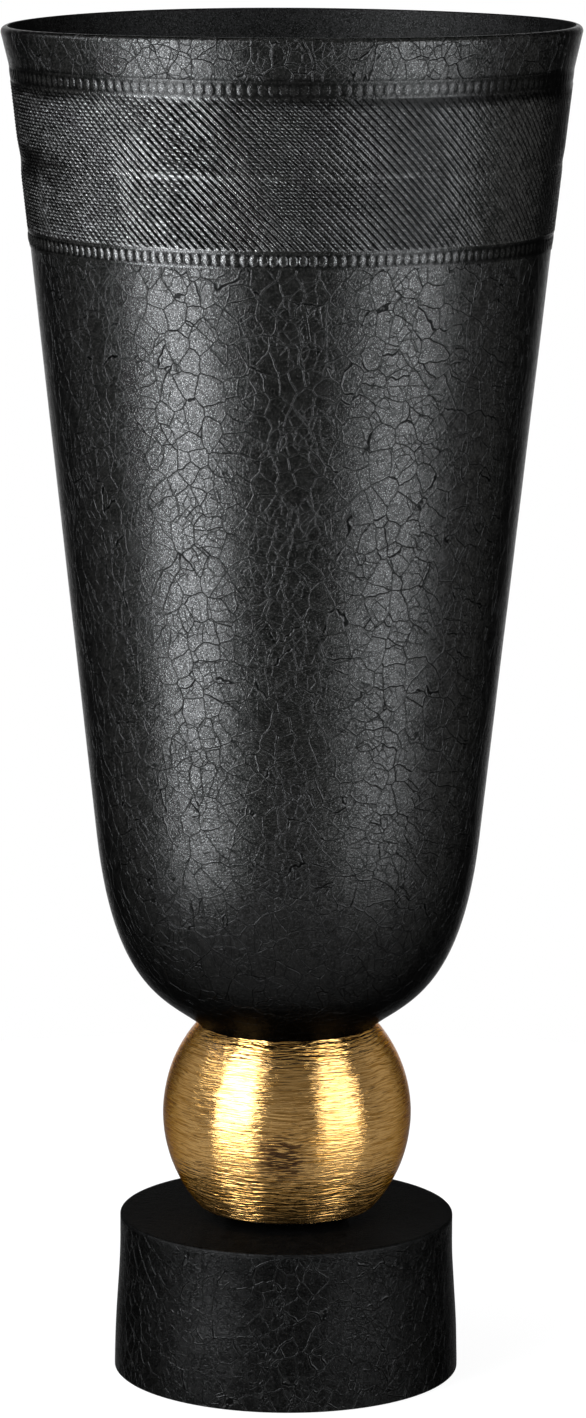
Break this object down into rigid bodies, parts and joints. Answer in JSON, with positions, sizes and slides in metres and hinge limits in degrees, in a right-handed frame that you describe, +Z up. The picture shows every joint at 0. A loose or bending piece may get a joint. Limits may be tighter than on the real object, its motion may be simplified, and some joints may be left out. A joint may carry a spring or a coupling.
{
  "type": "table vase",
  "caption": "Tall tapered table vase with a beaded and knurled band, on a gold ball and a drum foot, held by a tie rod.",
  "frame": {"origin": "centre of the foot, on the surface that the vase stands on", "axes": "+Z up along the vase's axis, towards the bowl's mouth; X and Y are any two level directions, as the vase is round"},
  "size_m": [0.1762, 0.1762, 0.4204],
  "materials": {
    "black_casting": "charcoal crackle coat, satin",
    "gold_ball": "brushed round the axis",
    "steel": "zinc plated",
    "seal": "matt",
    "felt": "pressed felt"
  },
  "bodies": {
    "root": {"bowl": "black_casting", "ball": "gold_ball", "collar": "black_casting", "base_drum": "black_casting", "tie_rod": "steel", "bowl_seal": "seal", "bowl_washer": "steel", "cap_nut": "steel", "base_washer": "steel", "spring_washer": "steel", "base_nut": "steel", "felt_pad_1": "felt", "felt_pad_2": "felt", "felt_pad_3": "felt", "felt_pad_4": "felt"}
  },
  "joints": []
}
